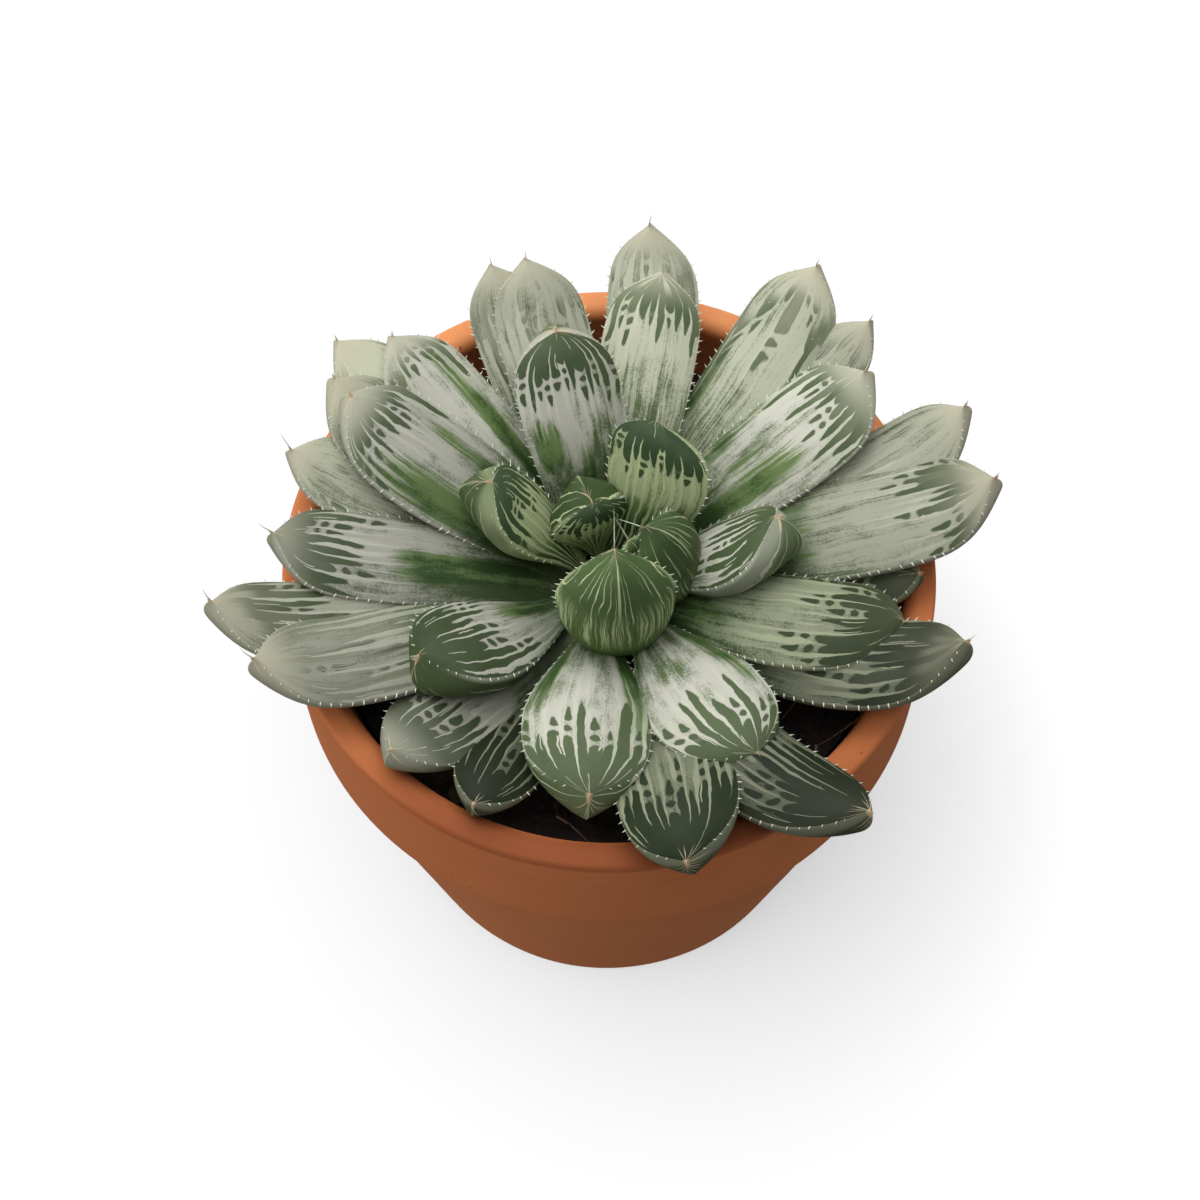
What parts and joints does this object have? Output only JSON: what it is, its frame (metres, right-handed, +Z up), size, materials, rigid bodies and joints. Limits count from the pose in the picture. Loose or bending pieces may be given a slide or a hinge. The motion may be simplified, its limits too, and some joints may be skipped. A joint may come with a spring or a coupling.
{
  "type": "potted haworthia",
  "caption": "Potted haworthia: a rosette of plump, pointed, toothed leaves on a short stem, seated in soil in a round terracotta pot with a banded rim.",
  "frame": {"origin": "centre of the foot ring's underside, on the pot's axis, which is also the centre of the bounding box's bottom face", "axes": "+Z up along the pot's axis, +X to the plant's right and -Y to the front as it is pictured"},
  "size_m": [0.1065, 0.0953, 0.0971],
  "materials": {
    "terracotta": "unglazed fired clay, matte",
    "potting_mix": "crumbly dark potting mix, matte",
    "stem_bark": "dry stem, matte",
    "leaf_skin": "firm succulent leaf, satin"
  },
  "bodies": {
    "root": {"leaf_01": "leaf_skin", "leaf_02": "leaf_skin", "leaf_03": "leaf_skin", "leaf_04": "leaf_skin", "leaf_05": "leaf_skin", "leaf_06": "leaf_skin", "leaf_07": "leaf_skin", "leaf_08": "leaf_skin", "leaf_09": "leaf_skin", "leaf_10": "leaf_skin", "leaf_11": "leaf_skin", "leaf_12": "leaf_skin", "leaf_13": "leaf_skin", "leaf_14": "leaf_skin", "leaf_15": "leaf_skin", "leaf_16": "leaf_skin", "leaf_17": "leaf_skin", "leaf_18": "leaf_skin", "leaf_19": "leaf_skin", "leaf_20": "leaf_skin", "leaf_21": "leaf_skin", "leaf_22": "leaf_skin", "leaf_23": "leaf_skin", "leaf_24": "leaf_skin", "leaf_25": "leaf_skin", "leaf_26": "leaf_skin", "leaf_27": "leaf_skin", "leaf_28": "leaf_skin", "leaf_29": "leaf_skin", "leaf_30": "leaf_skin", "leaf_31": "leaf_skin", "leaf_32": "leaf_skin", "leaf_33": "leaf_skin", "leaf_34": "leaf_skin", "leaf_35": "leaf_skin", "pot": "terracotta", "soil": "potting_mix", "stem": "stem_bark"}
  },
  "joints": []
}
